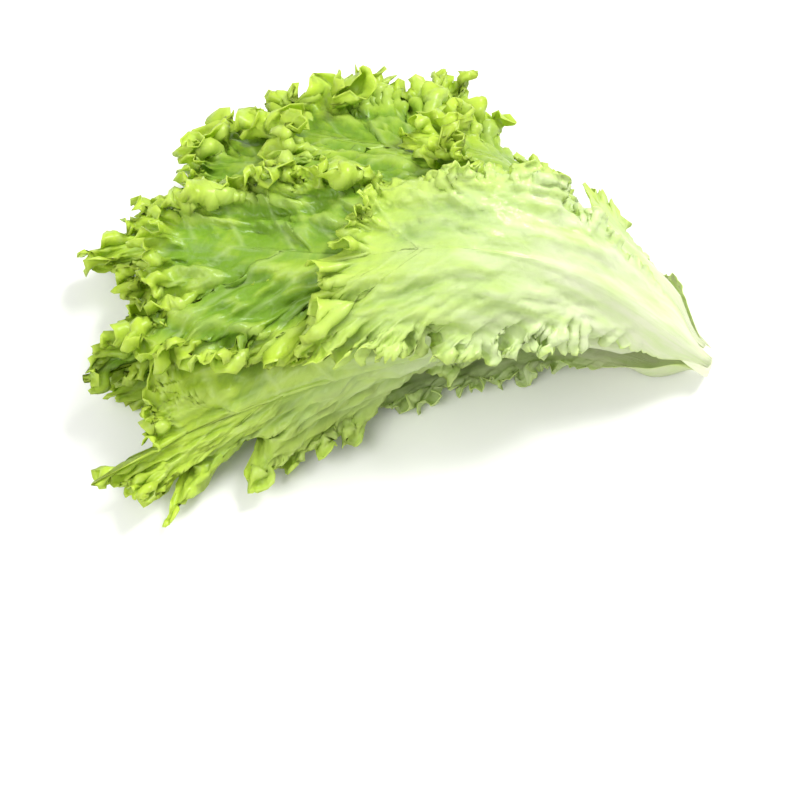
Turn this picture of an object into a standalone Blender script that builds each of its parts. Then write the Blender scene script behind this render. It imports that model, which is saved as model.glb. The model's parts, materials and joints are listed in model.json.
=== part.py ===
# A head of green leaf lettuce, cut and lying on its side.
# Metres, +Z up. The cut stem is at the +X end and the leaf tips point to -X.
# Each leaf is one closed solid. The leaves are laid on the stem from the
# innermost to the outermost, each draped over the ones inside it.

import math
from collections import namedtuple

import bmesh
import bpy
import numpy as np
from mathutils import Matrix, Vector

# Driving dimensions of the stem
STEM_LENGTH = 0.066
STEM_CUT_RADIUS = 0.0078
STEM_TOP_RADIUS = 0.0042
STEM_CHAMFER = 0.0008
STEM_TIP_HEIGHT = 0.001
STEM_SIDES = 20

# Driving dimensions of every leaf
BLADE_AT_MARGIN = 0.0008
BLADE_AT_BASE = 0.0013
RIB_HEIGHT = 0.0028
RIB_HALF_WIDTH = 0.0120
RIB_HALF_WIDTH_AT_TIP = 0.0012
FULL_RIB_LEAF_LENGTH = 0.25
ATTACHED_SHARE = 0.75
ATTACHED_LENGTH = 0.022
PETIOLE_WIDENING = 0.0050
SHOULDER_PLACE = 0.66
RUFFLE_LENGTH = 0.032
RUFFLE_HEIGHT = 0.0095
LOBE_SHARE = 0.05

# How a leaf may bend where it is draped
MOST_WRAP = math.radians(125)
LEAST_GAP = 0.0005
CLOSE_ENOUGH = 0.00003
STEEPEST = 0.6
STEEPEST_AT_BASE = 1.7
MOST_LIFT = 0.002
MOST_PASSES = 120
ARC_STEPS = 10

# How the head sags onto the table
SAG_CELL = 0.010
SAG_REACHES = (0.026, 0.018)
SAG_BLEND = 0.006
FLAT_DEPTH = 0.0030
FLAT_CELL = 0.004

# The leaf's rings from midrib to margin: place across the half blade, and share of columns
RING_PLACES = (0.0, 0.0, 0.36, 0.66, 0.86, 1.0)
RING_SHARES = (2, 2, 2, 2, 1, 1)
SAMPLES_ALONG_WAVE = 4

Leaf = namedtuple("Leaf", "name angle turn start length width lean flare opening roll ruffle")
# angle: where the midrib stands round the stem, degrees from +Y, 90 is up
# turn: how far the midrib drifts round the head by the tip, degrees
# start: where the leaf leaves the stem, from the cut
# lean, flare: the midrib's slope away from the head's axis at its base and tip, degrees
# opening: 0 where the blade wraps round the head, 1 where it lies flat
# roll: how far one margin stands out from the head past the other
# ruffle: height of the margin's waves as a share of RUFFLE_HEIGHT
LEAVES = (
    Leaf("leaf_01", 275, 0, 0.0575, 0.120, 0.028, 0, 2, 0.1, 0.0, 0.25),
    Leaf("leaf_02", 138, 0, 0.0540, 0.165, 0.034, 0, 2, 0.1, 0.0, 0.3),
    Leaf("leaf_03", 0, 0, 0.0510, 0.155, 0.036, 0, 4, 0.1, 0.0, 0.3),
    Leaf("leaf_04", 223, 0, 0.0480, 0.205, 0.042, 0, 4, 0.1, 0.0, 0.3),
    Leaf("leaf_05", 80, 0, 0.0445, 0.240, 0.046, 0, 6, 0.2, 0.0, 0.7),
    Leaf("leaf_06", 308, 0, 0.0410, 0.180, 0.046, 0, 8, 0.2, 0.0, 0.25),
    Leaf("leaf_07", 180, -4, 0.0380, 0.274, 0.062, 2, 24, 0.7, 0.5, 0.7),
    Leaf("leaf_08", 50, 0, 0.0345, 0.228, 0.048, 0, 4, 0.3, 0.0, 0.8),
    Leaf("leaf_09", 216, -16, 0.0315, 0.270, 0.060, 14, 44, 0.6, 0.5, 0.7),
    Leaf("leaf_10", 98, -6, 0.0285, 0.260, 0.058, 0, 8, 0.5, 0.0, 0.9),
    Leaf("leaf_11", 12, 0, 0.0250, 0.196, 0.040, 0, 66, 0.8, -0.6, 0.5),
    Leaf("leaf_12", 194, 0, 0.0220, 0.272, 0.062, 28, 46, 0.6, 0.85, 0.9),
    Leaf("leaf_13", 64, 4, 0.0190, 0.244, 0.048, 0, 3, 0.4, 0.0, 1.0),
    Leaf("leaf_14", 288, 0, 0.0130, 0.225, 0.052, 2, 8, 0.7, 0.0, 0.3),
    Leaf("leaf_15", 134, 4, 0.0100, 0.264, 0.045, 2, 4, 0.3, 0.2, 1.0),
    Leaf("leaf_16", 60, -2, 0.0070, 0.168, 0.039, 0, 2, 0.4, 0.0, 1.0),
    Leaf("leaf_17", 264, -30, 0.0040, 0.272, 0.044, 3, 8, 0.8, 0.0, 0.5),
    Leaf("leaf_18", 121, 16, 0.0015, 0.184, 0.050, 2, 4, 0.3, 0.1, 1.0),
    Leaf("leaf_19", 10, 0, 0.0030, 0.107, 0.013, 24, 44, 0.5, -1.4, 0.4),
)


def smooth(x, low, high):
    t = np.clip((x - low) / (high - low), 0, 1)
    return t * t * (3 - 2 * t)


# The head's own space. A point is s, the distance from the cut along the head,
# a, its angle round the axis, and r, its layer. Layers are circles at the stem
# that widen and flatten towards the tips, as a head does under its own weight.


def stretch_side(s):
    return 1 + 0.85 * smooth(s, 0.04, 0.30)


def stretch_up(s):
    return 1 - 0.10 * smooth(s, 0.06, 0.30)


def stretch_down(s):
    return 1 - 0.55 * smooth(s, 0.03, 0.22)


def axis_height(s):
    return 0.026 + 0.004 * smooth(s, 0.05, 0.30)


def stretch_upright(s, a):
    return np.where(np.sin(a) >= 0, stretch_up(s), stretch_down(s))


def to_space(s, a, r):
    across = stretch_side(s) * r * np.cos(a)
    height = axis_height(s) + stretch_upright(s, a) * r * np.sin(a)
    return np.stack([-s, across, height], -1)


def to_layers(points):
    s = -points[..., 0]
    across = points[..., 1] / stretch_side(s)
    height = points[..., 2] - axis_height(s)
    height = height / np.where(height >= 0, stretch_up(s), stretch_down(s))
    return s, np.arctan2(height, across), np.hypot(across, height)


def outward_scale(s, a):
    return np.hypot(stretch_side(s) * np.cos(a), stretch_upright(s, a) * np.sin(a))


def around_scale(s, a):
    return np.hypot(stretch_side(s) * np.sin(a), stretch_upright(s, a) * np.cos(a))


def stem_radius(s):
    return STEM_CUT_RADIUS + (STEM_TOP_RADIUS - STEM_CUT_RADIUS) * smooth(s, 0.002, STEM_LENGTH)


class Stack:
    # The outermost surface laid so far, as a layer height over s and a
    CELL_S = 0.002
    ROWS = 200
    CELLS_A = 180

    def __init__(self):
        self.height = np.zeros((self.ROWS, self.CELLS_A))
        rows = np.arange(self.ROWS) * self.CELL_S
        inside = rows < STEM_LENGTH + self.CELL_S
        self.height[inside] = stem_radius(rows[inside])[:, None] + LEAST_GAP / 2

    def cell(self, s, a):
        row = np.clip((s / self.CELL_S).astype(int), 1, self.ROWS - 2)
        return row, (a / (2 * math.pi) * self.CELLS_A).astype(int) % self.CELLS_A

    def under(self, s, a):
        row, column = self.cell(s, a)
        shifts = [(i, j) for i in (-1, 0, 1) for j in (-1, 0, 1)]
        near = [self.height[row + i, (column + j) % self.CELLS_A] for i, j in shifts]
        return np.max(near, axis=0)

    def add(self, s, a, r):
        np.maximum.at(self.height, self.cell(s, a), r)


def wander(rng, x, waves):
    # A smooth random curve over x from 0 to 1, about -1 to 1 high
    total = 0
    for k in range(1, 4):
        total = total + np.sin(2 * math.pi * (waves * k / 2 * x + rng.random())) / k
    return total / 1.5


class Pattern:
    # A leaf laid flat: l is along the midrib from its base, d across it, and t
    # runs along the margin from the base to the tip

    def __init__(self, leaf, seed):
        self.leaf = leaf
        rng = np.random.default_rng(seed)
        outline_l, outline_d, margin = self.outline()
        wave_length = RUFFLE_LENGTH * (1.5 - 0.5 * min(leaf.ruffle, 1))
        self.waves = max(4, round(0.88 * margin / wave_length))
        self.columns = SAMPLES_ALONG_WAVE * self.waves
        self.size = min(1.0, leaf.length / FULL_RIB_LEAF_LENGTH)
        ring, self.side, self.t = self.number_points()
        even = np.linspace(0, 1, len(outline_l))
        margin_l = np.interp(self.t, even, outline_l)
        margin_d = np.interp(self.t, even, outline_d)
        lobes = LOBE_SHARE * self.both_sides(rng, (7, 8)) * smooth(self.t, 0.2, 0.4)
        margin_l = margin_l * (1 + lobes * smooth(self.t, 0.5, 0.9))
        margin_d = margin_d * (1 + lobes)
        foot = margin_l - 0.22 * leaf.length * np.clip(margin_l / leaf.length, 0, 1) ** 1.5
        self.place = self.ring_places(ring, foot, np.hypot(margin_l - foot, margin_d))
        self.l = foot + (margin_l - foot) * self.place
        self.d = margin_d * self.place * self.side
        self.triangles = self.make_triangles()
        self.rib = np.where(ring == 0, self.rib_height(self.l), 0.0)
        thick = (1 - smooth(self.l, 0.0, 0.45 * leaf.length)) * (1 - self.place) * self.size
        self.blade = BLADE_AT_MARGIN + (BLADE_AT_BASE - BLADE_AT_MARGIN) * thick
        self.wave = self.make_wave(rng)
        self.neighbours = self.make_neighbours()

    def number_points(self):
        self.ids = {}
        rows = []
        for ring, share in enumerate(RING_SHARES):
            count = self.columns // share
            for side in (-1, 1):
                for j in range(count + 1):
                    key = self.key(ring, side, j, count)
                    if key not in self.ids:
                        self.ids[key] = len(rows)
                        rows.append((ring, key[1], j / count))
        ring, side, t = np.array(rows).T
        return ring.astype(int), side, t

    def key(self, ring, side, j, count):
        on_midrib = ring == 0 or j == count
        return ring, 0 if on_midrib else side, j

    def outline(self):
        # The half blade's edge, from the base to the tip, in even steps
        x = np.linspace(0, 1, 400)
        attached = ATTACHED_SHARE * float(stem_radius(self.leaf.start))
        petiole = attached + PETIOLE_WIDENING
        waist = petiole / self.leaf.width
        half = waist + (1 - waist) * smooth(x, 0.06, 0.60)
        narrow = (1 - smooth(x * self.leaf.length, 0, ATTACHED_LENGTH)) * (1 - attached / petiole)
        past = np.clip(x - SHOULDER_PLACE, 0, 1) / (1 - SHOULDER_PLACE)
        half = half * (1 - narrow) * np.sqrt(np.clip(1 - past**2.2, 0, 1))
        l, d = x * self.leaf.length, half * self.leaf.width
        run = np.concatenate([[0], np.cumsum(np.hypot(np.diff(l), np.diff(d)))])
        even = np.linspace(0, run[-1], len(x))
        return np.interp(even, run, l), np.interp(even, run, d), run[-1]

    def ring_places(self, ring, foot, span):
        edge_of_rib = self.rib_half_width(foot) / span
        place = np.array(RING_PLACES)[ring]
        place = np.where(ring == 1, np.minimum(edge_of_rib, 0.8), place)
        place = np.where(ring == 2, np.maximum(place, 0.5 * (0.64 + edge_of_rib)), place)
        return np.where(ring == 3, np.maximum(place, 0.5 * (0.9 + edge_of_rib)), place)

    def rib_half_width(self, l):
        left = 1 - smooth(l, -0.2 * self.leaf.length, 0.7 * self.leaf.length)
        return RIB_HALF_WIDTH_AT_TIP + (RIB_HALF_WIDTH - RIB_HALF_WIDTH_AT_TIP) * left

    def rib_height(self, l):
        taper = (1 - np.clip(l / self.leaf.length, 0, 1)) ** 1.6
        return self.size * RIB_HEIGHT * taper * (0.3 + 0.7 * smooth(l, 0, 0.025))

    def both_sides(self, rng, waves):
        left, right = (wander(rng, self.t, count) for count in waves)
        return np.where(self.side < 0, left, right)

    def make_wave(self, rng):
        shift = np.where(self.side < 0, *(0.3 * rng.random(2)))
        uneven = 0.16 * self.both_sides(rng, (3, 4))
        wave = np.sin(2 * math.pi * (self.waves * self.t + shift + uneven))
        strength = 0.75 + 0.35 * self.both_sides(rng, (5, 6))
        near_tip = smooth(self.t, 0.90, 1.0)
        wave = wave * strength * smooth(self.t, 0.12, 0.34) * (1 - near_tip) + 0.15 * near_tip
        return wave * self.place**2

    def make_triangles(self):
        found = []
        for side in (-1, 1):
            for ring in range(len(RING_SHARES) - 1):
                for face in self.strip(side, ring):
                    found.append(face if side > 0 else face[::-1])
        return np.array([face for face in found if len(set(face)) == 3])

    def strip(self, side, ring):
        inner = self.columns // RING_SHARES[ring]
        outer = self.columns // RING_SHARES[ring + 1]

        def pick(r, j, count):
            return self.ids[self.key(r, side, j, count)]

        for j in range(inner):
            a, b = pick(ring, j, inner), pick(ring, j + 1, inner)
            if outer == inner:
                c, d = pick(ring + 1, j + 1, outer), pick(ring + 1, j, outer)
                yield from [(a, b, c), (a, c, d)] if j % 2 else [(a, b, d), (b, c, d)]
            else:
                c, d, e = (pick(ring + 1, 2 * j + n, outer) for n in (0, 1, 2))
                yield from [(a, b, d), (a, d, c), (b, e, d)]

    def make_neighbours(self):
        ends = [self.triangles[:, [i, j]] for i, j in ((0, 1), (1, 2), (2, 0))]
        return np.unique(np.sort(np.concatenate(ends), axis=1), axis=0)

    def cover(self, values):
        # A cover at or above values whose slope stays below STEEPEST, then smoothed
        first, second = self.neighbours.T
        along = 0.5 * (self.l[first] + self.l[second])
        at_base = 1 - smooth(along, 0.01, 0.07)
        steepest = STEEPEST + (STEEPEST_AT_BASE - STEEPEST) * at_base
        drop = steepest * np.hypot(self.l[first] - self.l[second], self.d[first] - self.d[second])
        cover = values.copy()
        for _ in range(60):
            before = cover.copy()
            np.maximum.at(cover, first, before[second] - drop)
            np.maximum.at(cover, second, before[first] - drop)
            if np.abs(cover - before).max() < 1e-6:
                break
        count = np.bincount(np.r_[first, second], minlength=len(values))
        loose = smooth(self.l, 0.01, 0.09)
        for _ in range(4):
            total = np.bincount(first, cover[second], len(values))
            total = total + np.bincount(second, cover[first], len(values))
            cover = np.maximum(values, cover + loose * (total / count - cover))
        return cover


def midrib(leaf, l):
    # s, a and r of the midrib at the lengths l, from a fine walk along it
    steps = np.linspace(0, 1.15 * leaf.length, 120)
    share = steps / leaf.length
    slope = np.radians(leaf.lean + (leaf.flare - leaf.lean) * share**1.5)
    ds = np.diff(steps)
    s = leaf.start + np.concatenate([[0], np.cumsum(np.cos(slope[:-1]) * ds)])
    a = np.radians(leaf.angle + leaf.turn * share**1.5)
    away = np.concatenate([[0], np.cumsum(np.sin(slope[:-1]) * ds)])
    first = stem_radius(leaf.start) + 0.5 * BLADE_AT_BASE + LEAST_GAP
    r = first + away / outward_scale(s, a)
    return tuple(np.interp(l, steps, values) for values in (s, a, r))


def bend(pattern, push):
    # The leaf's outer and inner faces with its midrib's layer raised by push
    leaf = pattern.leaf
    s, a0, r0 = midrib(leaf, pattern.l)
    opening = leaf.opening * smooth(pattern.l, 0.1 * leaf.length, 0.8 * leaf.length)
    rolling = leaf.roll * smooth(pattern.l, 0.25 * leaf.length, 0.7 * leaf.length)
    step = pattern.d / ARC_STEPS / np.sqrt(1 + rolling**2)
    r_mid = r0 + push
    a = a0
    for k in range(ARC_STEPS):
        d = pattern.d * (k + 0.5) / ARC_STEPS
        r = r_mid + opening * (np.hypot(r_mid, d) - r_mid) + d * rolling
        a = a + step / (np.maximum(r, 0.006) * around_scale(s, a))
    a = a0 + MOST_WRAP * np.tanh((a - a0) / MOST_WRAP)
    wave = RUFFLE_HEIGHT * leaf.ruffle * pattern.wave
    middle = to_space(s, a, np.maximum(r + wave / outward_scale(s, a), 0.004))
    normal = vertex_normals(middle, pattern.triangles)
    outer = middle + normal * (0.5 * pattern.blade + pattern.rib)[:, None]
    inner = middle - normal * (0.5 * pattern.blade)[:, None]
    return outer, inner


def drape(pattern, stack):
    # Lays the leaf on the stack, raised only where it would cut into it, and adds it
    push = np.zeros(len(pattern.l))
    demand = np.zeros(len(pattern.l))
    for _ in range(MOST_PASSES):
        outer, inner = bend(pattern, push)
        points, owners, weights = samples(inner, pattern.triangles)
        s, a, r = to_layers(points)
        short = stack.under(s, a % (2 * math.pi)) + LEAST_GAP / outward_scale(s, a) - r
        if short.max() <= CLOSE_ENOUGH:
            break
        lift = short / (weights**2).sum(1)
        need = np.zeros(len(push))
        for corner in range(3):
            np.maximum.at(need, pattern.triangles[owners, corner], lift * weights[:, corner])
        demand = np.where(need > 0, push + np.minimum(need, MOST_LIFT), demand)
        push = pattern.cover(demand)
    points, _, _ = samples(outer, pattern.triangles)
    s, a, r = to_layers(points)
    stack.add(s, a % (2 * math.pi), r)
    return outer, inner


def samples(points, triangles, spacing=0.0015):
    # Points spread over each triangle, the triangle that each is on, and its corners' weights
    corners = points[triangles]
    longest = np.linalg.norm(corners - np.roll(corners, 1, axis=1), axis=2).max(axis=1)
    cuts = np.clip(np.ceil(longest / spacing), 2, 24).astype(int)
    found, owners, shares = [], [], []
    for n in np.unique(cuts):
        chosen = np.nonzero(cuts == n)[0]
        i, j = np.meshgrid(np.arange(n + 1), np.arange(n + 1), indexing="ij")
        keep = i + j <= n
        weights = np.stack([i[keep], j[keep], n - i[keep] - j[keep]], -1) / n
        found.append(np.einsum("wc,tcx->twx", weights, corners[chosen]).reshape(-1, 3))
        owners.append(np.repeat(chosen, len(weights)))
        shares.append(np.tile(weights, (len(chosen), 1)))
    return np.concatenate(found), np.concatenate(owners), np.concatenate(shares)


def vertex_normals(points, triangles):
    a, b, c = (points[triangles[:, k]] for k in range(3))
    face = np.cross(b - a, c - a)
    total = np.zeros_like(points)
    for k in range(3):
        np.add.at(total, triangles[:, k], face)
    return total / np.maximum(np.linalg.norm(total, axis=1, keepdims=True), 1e-12)


def closed_faces(triangles, count):
    # The outer face, the inner face turned over, and a wall along the rim
    ends = np.concatenate([triangles[:, [i, j]] for i, j in ((0, 1), (1, 2), (2, 0))])
    known = {tuple(pair) for pair in ends}
    wall = []
    for i, j in sorted(known):
        if (j, i) not in known:
            wall += [(j, i, i + count), (j, i + count, j + count)]
    return np.concatenate([triangles, triangles[:, ::-1] + count, np.array(wall)])


def stem_solid():
    rows = np.array([0.0, STEM_CHAMFER, 0.006, 0.014, 0.024, 0.034, 0.044, STEM_LENGTH])
    angles = np.arange(STEM_SIDES) * 2 * math.pi / STEM_SIDES
    radius = stem_radius(rows)
    radius[0] -= STEM_CHAMFER
    radius[-1] *= 0.6
    s, a = np.meshgrid(rows, angles, indexing="ij")
    rings = to_space(s.ravel(), a.ravel(), np.repeat(radius, STEM_SIDES))
    cut_centre, tip = len(rings), len(rings) + 1
    ends = to_space(np.array([0.0, STEM_LENGTH + STEM_TIP_HEIGHT]), np.zeros(2), np.zeros(2))
    faces = []
    last = (len(rows) - 1) * STEM_SIDES
    for k in range(STEM_SIDES):
        after = (k + 1) % STEM_SIDES
        for row in range(0, last, STEM_SIDES):
            a, b = row + k, row + after
            faces += [(a, b + STEM_SIDES, b), (a, a + STEM_SIDES, b + STEM_SIDES)]
        faces += [(cut_centre, k, after), (tip, last + after, last + k)]
    return np.concatenate([rings, ends]), np.array(faces)


def settle(solids):
    # The head sags until its underside lies along the table
    for reach in SAG_REACHES:
        low = {}
        for points, _ in solids.values():
            cells = np.round(points[:, :2] / SAG_CELL).astype(int)
            for key, z in zip(map(tuple, cells), points[:, 2]):
                low[key] = min(z, low.get(key, z))
        place = np.array(sorted(low)) * SAG_CELL
        depth = np.exp(-np.array([low[key] for key in sorted(low)]) / SAG_BLEND)
        for points, _ in solids.values():
            away = ((points[:, None, :2] - place) ** 2).sum(2)
            weight = np.exp(-0.5 * away / reach**2)
            points[:, 2] += SAG_BLEND * np.log((weight * depth).sum(1) / weight.sum(1))


def centre_of_mass(solids):
    total, moment = 0.0, np.zeros(3)
    for points, faces in solids.values():
        a, b, c = (points[faces[:, k]] for k in range(3))
        volume = np.einsum("ij,ij->i", a, np.cross(b, c)) / 6
        total += volume.sum()
        moment += ((a + b + c) / 4 * volume[:, None]).sum(0)
    return moment / total


def underside(points, weight):
    # The facet of the convex hull that the weight stands on: its normal and corners
    hull = bmesh.new()
    for p in points:
        hull.verts.new(p)
    bmesh.ops.convex_hull(hull, input=hull.verts)
    centre = points.mean(0)
    facets = []
    for face in hull.faces:
        corners = np.array([v.co for v in face.verts])
        normal = np.cross(corners[1] - corners[0], corners[2] - corners[0])
        normal = normal / max(np.linalg.norm(normal), 1e-12)
        if normal @ (corners[0] - centre) < 0:
            normal = -normal
        if normal[2] < -0.5:
            below = corners[0, 2] - (weight - corners[0])[:2] @ normal[:2] / normal[2]
            facets.append((below, normal, corners))
    hull.free()
    return max(facets, key=lambda facet: facet[0])[1:]


def rest(solids):
    # Tips the head onto the three lowest points round its weight and centres it on the origin
    for _ in range(3):
        points = np.concatenate([p for p, _ in solids.values()])
        down, corners = underside(points, centre_of_mass(solids))
        axis = np.cross(down, (0, 0, -1))
        angle = math.asin(min(1.0, np.linalg.norm(axis)))
        turn = np.array(Matrix.Rotation(angle, 3, Vector(axis))) if angle > 1e-7 else np.eye(3)
        for name, (p, faces) in solids.items():
            solids[name] = (p @ turn.T, faces)
        points = np.concatenate([p for p, _ in solids.values()])
        low, high = points.min(0), points.max(0)
        for p, _ in solids.values():
            p -= ((low[0] + high[0]) / 2, (low[1] + high[1]) / 2, low[2])


def press_flat(solids):
    # What lies lowest is pressed flat against the table where no other leaf is under it
    lowest = {}
    for name, (points, faces) in solids.items():
        cells = np.round(samples(points, faces, FLAT_CELL)[0] / FLAT_CELL).astype(int)
        for x, y, z in cells[cells[:, 2] < 2]:
            lowest.setdefault((x, y), set()).add(name)
    for name, (points, faces) in solids.items():
        for p in points[: len(points) // 2]:
            x, y, _ = np.round(p / FLAT_CELL).astype(int)
            near = [lowest.get((x + i, y + j), set()) for i in (-1, 0, 1) for j in (-1, 0, 1)]
            if p[2] < FLAT_DEPTH and set().union(*near) <= {name}:
                p[2] = 0.0


def make_material(name, colour, roughness):
    material = bpy.data.materials.new(name)
    material.use_nodes = True
    shader = material.node_tree.nodes["Principled BSDF"]
    shader.inputs["Base Color"].default_value = (*colour, 1)
    shader.inputs["Metallic"].default_value = 0.0
    shader.inputs["Roughness"].default_value = roughness
    return material


def add_object(name, points, faces, material):
    mesh = bpy.data.meshes.new(name)
    mesh.from_pydata(points.tolist(), [], faces.tolist())
    mesh.materials.append(material)
    mesh.update()
    obj = bpy.data.objects.new(name, mesh)
    bpy.context.scene.collection.objects.link(obj)


def main():
    for obj in list(bpy.data.objects):
        bpy.data.objects.remove(obj)
    stack = Stack()
    solids = {}
    for seed, leaf in enumerate(LEAVES, start=1):
        pattern = Pattern(leaf, seed)
        outer, inner = drape(pattern, stack)
        faces = closed_faces(pattern.triangles, len(outer))
        solids[leaf.name] = (np.concatenate([outer, inner]), faces)
    solids["stem"] = stem_solid()
    settle(solids)
    rest(solids)
    press_flat(solids)
    green = make_material("lettuce_leaf", (0.27, 0.53, 0.07), 0.42)
    pale = make_material("lettuce_stem", (0.80, 0.85, 0.62), 0.50)
    for name, (points, faces) in solids.items():
        add_object(name, points, faces, pale if name == "stem" else green)


main()
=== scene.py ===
# Green leaf lettuce, cut and lying on its side.
# Metres, +Z up, the cut stem towards +X and the leaf tips towards -X.
# The leaves are grown by the rules that shaped their solids, so each lies where its solid
# lies. Each then gets its frilled margin, veins, blisters, thickness and finish.

import json
import math
from collections import namedtuple
from functools import partial

import bmesh
import bpy
import numpy as np
from mathutils import Matrix, Vector

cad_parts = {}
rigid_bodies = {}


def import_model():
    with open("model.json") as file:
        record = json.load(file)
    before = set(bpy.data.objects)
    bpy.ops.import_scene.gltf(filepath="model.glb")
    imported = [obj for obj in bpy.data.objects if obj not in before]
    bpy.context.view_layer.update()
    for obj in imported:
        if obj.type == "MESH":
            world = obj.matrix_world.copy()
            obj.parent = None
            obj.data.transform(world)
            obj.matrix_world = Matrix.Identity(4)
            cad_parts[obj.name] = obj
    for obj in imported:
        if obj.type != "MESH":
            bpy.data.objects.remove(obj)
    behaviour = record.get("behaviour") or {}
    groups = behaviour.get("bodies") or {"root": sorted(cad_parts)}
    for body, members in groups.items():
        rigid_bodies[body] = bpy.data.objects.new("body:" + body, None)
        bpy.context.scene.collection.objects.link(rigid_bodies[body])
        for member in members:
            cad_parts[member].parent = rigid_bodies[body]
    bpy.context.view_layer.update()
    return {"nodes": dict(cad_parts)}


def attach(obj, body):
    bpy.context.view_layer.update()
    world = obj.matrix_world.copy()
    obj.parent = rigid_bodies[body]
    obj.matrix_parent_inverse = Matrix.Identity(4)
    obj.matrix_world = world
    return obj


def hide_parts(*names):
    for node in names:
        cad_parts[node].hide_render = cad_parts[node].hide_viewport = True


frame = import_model()
print("frame loaded:", len(frame["nodes"]), "nodes")


def smooth(x, low, high):
    t = np.clip((x - low) / (high - low), 0, 1)
    return t * t * (3 - 2 * t)


def unit(vectors):
    return vectors / np.maximum(np.linalg.norm(vectors, axis=-1, keepdims=True), 1e-12)


# The head and its leaves, as the solids have them

stemForm = {
    "length": 0.066,
    "cutRadius": 0.0078,
    "topRadius": 0.0042,
    "chamfer": 0.0008,
    "tipHeight": 0.001,
    "tipShare": 0.6,
    "sides": 20,
}

leafForm = {
    "bladeAtMargin": 0.0008,
    "bladeAtBase": 0.0013,
    "ribHeight": 0.0028,
    "ribHalfWidth": 0.0120,
    "ribHalfWidthAtTip": 0.0012,
    "fullRibLength": 0.25,
    "attachedShare": 0.75,
    "attachedLength": 0.022,
    "petioleWidening": 0.0050,
    "shoulder": 0.66,
    "ruffleLength": 0.032,
    "ruffleHeight": 0.0095,
    "lobeShare": 0.05,
}

drapeForm = {
    "mostWrap": math.radians(125),
    "leastGap": 0.0005,
    "closeEnough": 0.00003,
    "steepest": 0.6,
    "steepestAtBase": 1.7,
    "mostLift": 0.002,
    "mostPasses": 120,
    "arcSteps": 10,
}

sagForm = {"cell": 0.010, "reaches": (0.026, 0.018), "blend": 0.006}

# angle: where the midrib stands round the stem, degrees from +Y, 90 is up
# turn: how far the midrib drifts round the head by the tip, degrees
# start: where the leaf leaves the stem, from the cut
# lean, flare: the midrib's slope away from the head's axis at its base and tip, degrees
# opening: 0 where the blade wraps round the head, 1 where it lies flat
# roll: how far one margin stands out from the head past the other
# ruffle: the share of the full height of the margin's waves
Leaf = namedtuple("Leaf", "name angle turn start length width lean flare opening roll ruffle")
leafRows = (
    Leaf("leaf_01", 275, 0, 0.0575, 0.120, 0.028, 0, 2, 0.1, 0.0, 0.25),
    Leaf("leaf_02", 138, 0, 0.0540, 0.165, 0.034, 0, 2, 0.1, 0.0, 0.3),
    Leaf("leaf_03", 0, 0, 0.0510, 0.155, 0.036, 0, 4, 0.1, 0.0, 0.3),
    Leaf("leaf_04", 223, 0, 0.0480, 0.205, 0.042, 0, 4, 0.1, 0.0, 0.3),
    Leaf("leaf_05", 80, 0, 0.0445, 0.240, 0.046, 0, 6, 0.2, 0.0, 0.7),
    Leaf("leaf_06", 308, 0, 0.0410, 0.180, 0.046, 0, 8, 0.2, 0.0, 0.25),
    Leaf("leaf_07", 180, -4, 0.0380, 0.274, 0.062, 2, 24, 0.7, 0.5, 0.7),
    Leaf("leaf_08", 50, 0, 0.0345, 0.228, 0.048, 0, 4, 0.3, 0.0, 0.8),
    Leaf("leaf_09", 216, -16, 0.0315, 0.270, 0.060, 14, 44, 0.6, 0.5, 0.7),
    Leaf("leaf_10", 98, -6, 0.0285, 0.260, 0.058, 0, 8, 0.5, 0.0, 0.9),
    Leaf("leaf_11", 12, 0, 0.0250, 0.196, 0.040, 0, 66, 0.8, -0.6, 0.5),
    Leaf("leaf_12", 194, 0, 0.0220, 0.272, 0.062, 28, 46, 0.6, 0.85, 0.9),
    Leaf("leaf_13", 64, 4, 0.0190, 0.244, 0.048, 0, 3, 0.4, 0.0, 1.0),
    Leaf("leaf_14", 288, 0, 0.0130, 0.225, 0.052, 2, 8, 0.7, 0.0, 0.3),
    Leaf("leaf_15", 134, 4, 0.0100, 0.264, 0.045, 2, 4, 0.3, 0.2, 1.0),
    Leaf("leaf_16", 60, -2, 0.0070, 0.168, 0.039, 0, 2, 0.4, 0.0, 1.0),
    Leaf("leaf_17", 264, -30, 0.0040, 0.272, 0.044, 3, 8, 0.8, 0.0, 0.5),
    Leaf("leaf_18", 121, 16, 0.0015, 0.184, 0.050, 2, 4, 0.3, 0.1, 1.0),
    Leaf("leaf_19", 10, 0, 0.0030, 0.107, 0.013, 24, 44, 0.5, -1.4, 0.4),
)

# The head's own space. A point is s, the distance from the cut along the head, a, its
# angle round the axis, and r, its layer. Layers are circles at the stem that widen and
# flatten towards the tips, as a head does under its own weight.


def stretchSide(s):
    return 1 + 0.85 * smooth(s, 0.04, 0.30)


def stretchUp(s):
    return 1 - 0.10 * smooth(s, 0.06, 0.30)


def stretchDown(s):
    return 1 - 0.55 * smooth(s, 0.03, 0.22)


def axisHeight(s):
    return 0.026 + 0.004 * smooth(s, 0.05, 0.30)


def stretchUpright(s, a):
    return np.where(np.sin(a) >= 0, stretchUp(s), stretchDown(s))


def toSpace(s, a, r):
    across = stretchSide(s) * r * np.cos(a)
    height = axisHeight(s) + stretchUpright(s, a) * r * np.sin(a)
    return np.stack([-s, across, height], -1)


def toLayers(points):
    s = -points[..., 0]
    across = points[..., 1] / stretchSide(s)
    height = points[..., 2] - axisHeight(s)
    height = height / np.where(height >= 0, stretchUp(s), stretchDown(s))
    return s, np.arctan2(height, across), np.hypot(across, height)


def outwardScale(s, a):
    return np.hypot(stretchSide(s) * np.cos(a), stretchUpright(s, a) * np.sin(a))


def aroundScale(s, a):
    return np.hypot(stretchSide(s) * np.sin(a), stretchUpright(s, a) * np.cos(a))


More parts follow.
